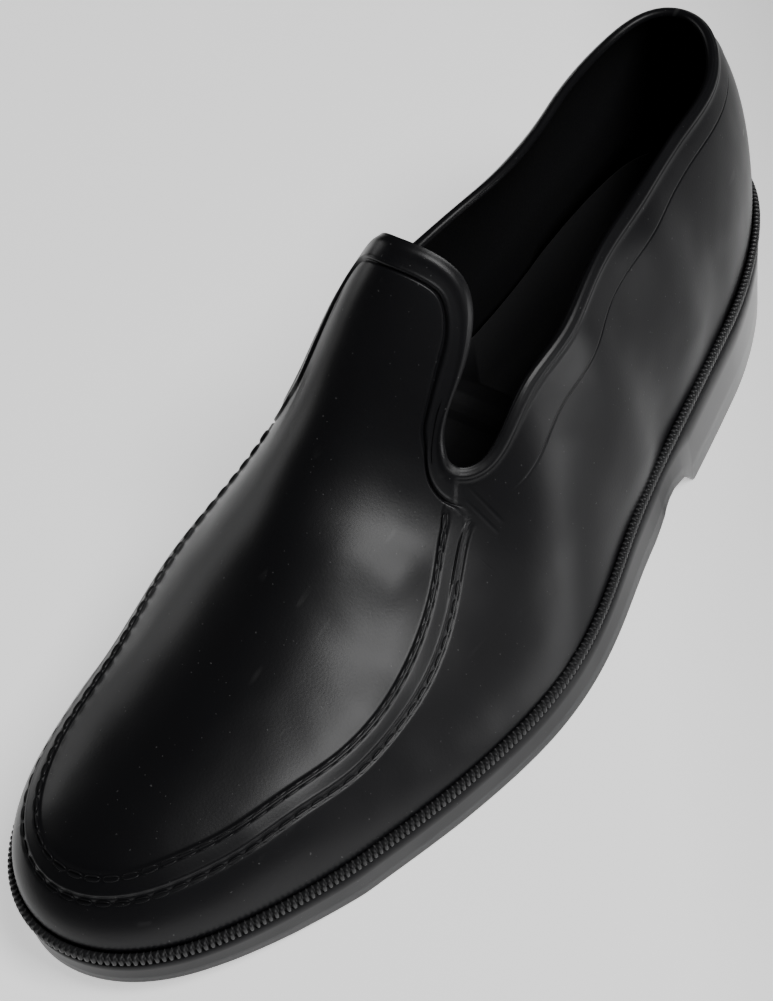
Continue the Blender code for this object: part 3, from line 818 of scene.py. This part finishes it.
# The knurled strip's section: distance outside the upper and height from its middle, as shares of its size,
# and how deep a groove cuts there, as a share of KNURL_DEPTH.
WELT_SECTION = (
    (0.00, -0.50, 0.0),
    (0.70, -0.50, 0.5),
    (0.94, -0.42, 0.9),
    (1.00, -0.25, 1.0),
    (1.00, 0.25, 1.0),
    (0.90, 0.44, 1.0),
    (0.45, 0.50, 1.0),
    (0.00, 0.50, 0.0),
)
KNURL_PITCH = 0.00162
KNURL_DEPTH = 0.0012
KNURL_SHAPE = (1.0, 0.5, 0.0, 0.0, 0.0, 0.5)   # depth at even places from one groove to the next
WELT_RUN = 0.002         # distance outside the upper at which the knurl's teeth are counted
POLISH_START, POLISH_FULL = 0.0, 0.10   # y between which the heel's polish sets in


def ring_turns(shares):
    """Turns and sides all round the outline for shares of the way from toe to heel."""
    turns = outline_turns(shares)
    sides = np.concatenate((np.full(len(turns), OUTER), np.full(len(turns) - 2, INNER)))
    return np.concatenate((turns, turns[-2:0:-1])), sides


def ring_points(turns, sides, offset):
    """Plan places all round the outline moved outwards, and their anchors on the centre line."""
    x, y, anchor = outline_offset(turns, sides, offset)
    return np.stack([x, y], axis=-1), np.stack([CENTRE(station(anchor)), anchor], axis=-1)


def build_welt():
    """Knurled strip: a tooth every KNURL_PITCH all round."""
    turns, sides, deep = [], [], []
    for side in (OUTER, INNER):
        x, y, _ = outline_offset(OUTLINE_STEPS, side, WELT_RUN)
        length = float(np.hypot(np.diff(x), np.diff(y)).sum())
        count = int(round(length / KNURL_PITCH)) * len(KNURL_SHAPE)
        shares = np.arange(count) / count
        turns.append(outline_turns(shares if side == OUTER else 1.0 - shares))
        sides.append(np.full(count, side))
        deep.append(np.resize(KNURL_SHAPE, count))
    turns, sides, deep = (np.concatenate(part) for part in (turns, sides, deep))
    foot, _ = ring_points(turns, sides, 0.0)
    middle = WELT_Z(station(foot[:, 1]))
    sections = []
    for out, up, cut in WELT_SECTION:
        points, _ = ring_points(turns, sides, GAP + out * WELT_WIDTH - deep * cut * KNURL_DEPTH)
        sections.append(np.column_stack((points, middle + up * WELT_HEIGHT)))
    polish = (POLISH_START, POLISH_FULL, 0.5)
    material = rubber("welt_rubber", (0.014, 0.014, 0.015), 0.42, 0.4, polish=polish)
    part = add_ring("welt_knurl", np.stack(sections, axis=1), (material,))
    dress(part, "welt")


def underside(s):
    """Height of the sole's underside and heel at a station."""
    i = SOLE_COLUMNS.index("underside")
    rows = [(row[0], row[i]) for row in SOLE if row[0] < BREAST[0][0]] + list(BREAST)
    return np.interp(s, [row[0] for row in rows], [row[1] for row in rows]) * HEEL_SEAT


def sole_shares():
    """Shares round the outline of the sole's sections, with one at each row of BREAST."""
    cross, y, _ = outline_point(OUTLINE_STEPS)
    run = np.concatenate(([0.0], np.cumsum(np.hypot(np.diff(plan(cross, y)), np.diff(y)))))
    breast = [np.interp((at - 0.5) * LENGTH, y, run / run[-1]) for at, _ in BREAST]
    return np.array(sorted(list(np.linspace(0.0, 1.0, 201)) + breast))


def build_outsole():
    """Tray of the sole with its heel, the same section as the solid's with finer facets."""
    turns, sides = ring_turns(sole_shares())
    foot, _ = ring_points(turns, sides, 0.0)
    s = station(foot[:, 1])
    top, low = WELT_Z(s) - 0.5 * WELT_HEIGHT - GAP, underside(s)
    flare = SOLE_EDGE + FLARE(s)
    head = GAP + WELT_WIDTH - SOLE_LIP
    rings = []

    def level(share, offset, lift):
        points, anchor = ring_points(turns, sides, offset)
        where = anchor + (points - anchor) * share
        rings.append(np.column_stack((where, underside(station(where[:, 1])) + lift)))

    level(0.0, 0.0, 0.0)
    level(SOLE_MIDDLE, flare - SOLE_BEVEL, 0.0)
    points, _ = ring_points(turns, sides, flare - SOLE_BEVEL)
    rings.append(np.column_stack((points, low)))
    for out, down in SIDE_SECTION:
        offset = head + (flare - head) * down + out * SOLE_EDGE
        points, _ = ring_points(turns, sides, offset)
        rings.append(np.column_stack((points, top + (low - top) * down)))
    points, _ = ring_points(turns, sides, -WALL)
    rings.append(np.column_stack((points, top)))
    points, _ = ring_points(turns, sides, np.minimum(flare, head) - SOLE_WALL)
    rings.append(np.column_stack((points, low + SOLE_FLOOR)))
    level(SOLE_MIDDLE, flare - SOLE_WALL, SOLE_FLOOR)
    level(0.0, 0.0, SOLE_FLOOR)
    polish = (POLISH_START, POLISH_FULL, 0.8)
    skin = rubber("outsole_rubber", (0.008, 0.008, 0.009), 0.43, 0.6, polish=polish)
    materials = (skin, matte_lining("outsole_inside"))
    inside = 3 + len(SIDE_SECTION)
    part = add_ring("sole_skin", np.stack(rings, axis=1), materials, closed=False, inside=inside)
    dress(part, "outsole")


# Stitches of the apron, moulded as long cups, in metres: row, length, half width and height over the groove,
# and how far before the band's end the row stops, as a station.
STITCH_PITCH = 0.0046
STITCHES = (
    ("outer", 0.0041, 0.00060, 0.00060, 0.028),
    ("inner", 0.0042, 0.00072, 0.00070, 0.000),
)
STITCH_STEPS = 11        # sections along one stitch
STITCH_TIP = 0.05        # thickness left at a stitch's ends, as a share
STITCH_CLEARANCE = 0.0012   # between the stitches and the tongue's border
STITCH_SHARES = NOTCH_SHARE + 0.04   # share of the last strip that may carry stitches

# Section across a stitch: shares of its half width and height.
STITCH_SECTION = (
    (1.00, -1.80),
    (1.00, 0.45),
    (0.72, 1.00),
    (0.36, -0.40),
    (-0.36, -0.40),
    (-0.72, 1.00),
    (-1.00, 0.45),
    (-1.00, -1.80),
)


def row_line(strips, name, stop):
    """Points and normals along a stitch row, from one notch round the toe to the other."""
    fore = [strip for strip in strips if strip.share < STITCH_SHARES]
    ordered = sorted(fore, key=lambda strip: strip.share * strip.side)
    points, normals = [], []
    for strip in ordered:
        at = strip.cut(getattr(strip, name), 0.0)
        cross, y = strip.at(at)
        clear = np.interp(at, strip.run, strip.edge) >= strip.border + STITCH_CLEARANCE
        if not clear or station(y) > BAND_END[0] - stop:
            continue
        here = over_last(cross, y)
        normal = np.cross(over_last(cross + 1e-3, y) - here, over_last(cross, y + 1e-4) - here)
        normal *= np.sign(normal[2]) / np.linalg.norm(normal)
        normals.append(normal)
        points.append(here + normal * (soft_forms(here) + fine_rise(strip, np.array([at]))[0]))
    return np.array(points), np.array(normals)


def frames_along(line, normals, run, at):
    """Centres, upward and sideways directions at lengths along a row."""
    centre = np.column_stack([np.interp(at, run, line[:, i]) for i in range(3)])
    up = np.column_stack([np.interp(at, run, normals[:, i]) for i in range(3)])
    ahead = np.gradient(centre, axis=0)
    ahead /= np.linalg.norm(ahead, axis=1)[:, None]
    return centre, up, np.cross(ahead, up)


def build_stitches(strips):
    """Both rows of stitches as one piece."""
    points, faces = [], []
    size, steps = len(STITCH_SECTION), STITCH_STEPS
    along = np.linspace(-0.5, 0.5, steps)
    swell = np.sqrt(np.maximum(1.0 - np.abs(2.0 * along) ** 3.0, 0.0)) + STITCH_TIP
    for name, length, half, height, stop in STITCHES:
        line, normals = row_line(strips, name, stop)
        run = np.concatenate(([0.0], np.cumsum(np.linalg.norm(np.diff(line, axis=0), axis=1))))
        count = int(run[-1] / STITCH_PITCH)
        for n in range(count):
            frames = frames_along(line, normals, run, (n + 0.5) * run[-1] / count + along * length)
            start = len(points)
            for centre, up, across, wide in zip(*frames, swell):
                points += [centre + across * side * half * wide + up * rise * height * wide
                           for side, rise in STITCH_SECTION]
            corners = ((0, 0), (1, 0), (1, 1), (0, 1))
            faces += [[start + (i + a) * size + (k + b) % size for a, b in corners]
                      for i in range(steps - 1) for k in range(size)]
            faces.append([start + k for k in range(size)])
            faces.append([start + steps * size - 1 - k for k in range(size)])
    material = rubber("stitch_rubber", (0.012, 0.012, 0.013), 0.36, 0.0)
    part = add_mesh("apron_stitches", points, faces, (material,))
    dress(part, "upper", replaced=False)


# Camera, found from the photo: angles in degrees, distance and target in metres.
CAMERA_AZIMUTH, CAMERA_ELEVATION, CAMERA_ROLL = 45.94, 48.10, -12.37
CAMERA_DISTANCE = 0.45162
CAMERA_TARGET = (-0.00174 + ORIGIN_X, -0.01796, 0.040)
CAMERA_LENS = 62.42      # mm, on a sensor 36 mm wide
SENSOR_WIDTH = 36.0


def place_camera():
    """Camera at the photo's angle."""
    a, e, r = (math.radians(v) for v in (CAMERA_AZIMUTH, CAMERA_ELEVATION, CAMERA_ROLL))
    back = Vector((math.sin(a) * math.cos(e), -math.cos(a) * math.cos(e), math.sin(e)))
    right = Vector((math.cos(a), math.sin(a), 0.0))
    up = back.cross(right)
    rolled_right = math.cos(r) * right + math.sin(r) * up
    rolled_up = -math.sin(r) * right + math.cos(r) * up
    data = bpy.data.cameras.new("camera")
    data.lens = CAMERA_LENS
    data.sensor_width = SENSOR_WIDTH
    data.clip_start, data.clip_end = 0.01, 50.0
    data.dof.use_dof = False
    camera = bpy.data.objects.new("camera", data)
    bpy.context.scene.collection.objects.link(camera)
    matrix = Matrix((rolled_right, rolled_up, back)).transposed().to_4x4()
    matrix.translation = Vector(CAMERA_TARGET) + back * CAMERA_DISTANCE
    camera.matrix_world = matrix
    bpy.context.scene.camera = camera


def area_light(name, place, target, size, power):
    data = bpy.data.lights.new(name, "AREA")
    data.shape = "RECTANGLE"
    data.size, data.size_y = size
    data.energy = power
    light = bpy.data.objects.new(name, data)
    bpy.context.scene.collection.objects.link(light)
    light.location = place
    light.rotation_mode = "QUATERNION"
    light.rotation_quaternion = (Vector(target) - Vector(place)).to_track_quat("-Z", "Y")


# Softboxes: place, aim, size in metres and power in watts.
LIGHTS = (
    ("key_box", (0.72, 0.05, 1.05), (0.01, -0.02, 0.05), (0.42, 0.55), 12.2),
    ("side_box", (1.10, 0.42, 0.05), (0.0, 0.03, 0.05), (0.45, 0.30), 4.2),
    ("left_box", (-1.10, -0.15, 0.35), (0.0, -0.05, 0.05), (0.60, 0.40), 1.6),
)
WORLD_LIGHT = 0.035
TABLE_GLOW = 0.84        # strength of the lit table top's glow
TABLE_REACH = 0.62       # distance from the shoe over which the glow falls
TABLE_FULL = 1.6         # in reaches, how far out the glow has gone
TABLE_BACK = (0.8, 0.6, 0.0)   # direction in which the table top's painted glow fades behind the shoe
BACK_START, BACK_FALL = 0.05, 7.0   # where it starts to darken, in metres, and how fast
FLOOR_SIZE, FLOOR_DROP = 12.0, 0.0002
FLOOR_WHITE = (0.9, 0.9, 0.9, 1.0)
WHITE = (1.0, 1.0, 1.0, 1.0)
BLACK = (0.0, 0.0, 0.0, 1.0)


def build_stage():
    """Pale floor, whose glow stands in for a lit table top, and soft boxes."""
    bpy.ops.mesh.primitive_plane_add(size=FLOOR_SIZE, location=(0.0, 0.0, -FLOOR_DROP))
    floor = bpy.context.object
    floor.name = "floor"
    tree = Tree("floor_paper_painted_glow")
    place = tree.place()
    away = tree.vector("LENGTH", place, output=1) / TABLE_REACH
    back = tree.vector("DOT_PRODUCT", place, TABLE_BACK, 1)
    # painted light: the floor glows brightest near the shoe, fades with distance and is darker behind the
    # shoe
    shine = (TABLE_FULL - away).clamp() * (1.0 - (back - BACK_START) * BACK_FALL).clamp()
    tree.set(Base_Color=FLOOR_WHITE, Roughness=0.9)
    tree.set(Emission_Color=tree.mix(shine, BLACK, WHITE), Emission_Strength=TABLE_GLOW)
    floor.data.materials.append(tree.material)
    world = bpy.data.worlds.new("studio")
    world.use_nodes = True
    background = world.node_tree.nodes["Background"]
    background.inputs["Color"].default_value = WHITE
    background.inputs["Strength"].default_value = WORLD_LIGHT
    bpy.context.scene.world = world
    for name, place, target, size, power in LIGHTS:
        area_light(name, place, target, size, power)


build_outsole()
build_welt()
build_stitches(build_upper())
place_camera()
build_stage()
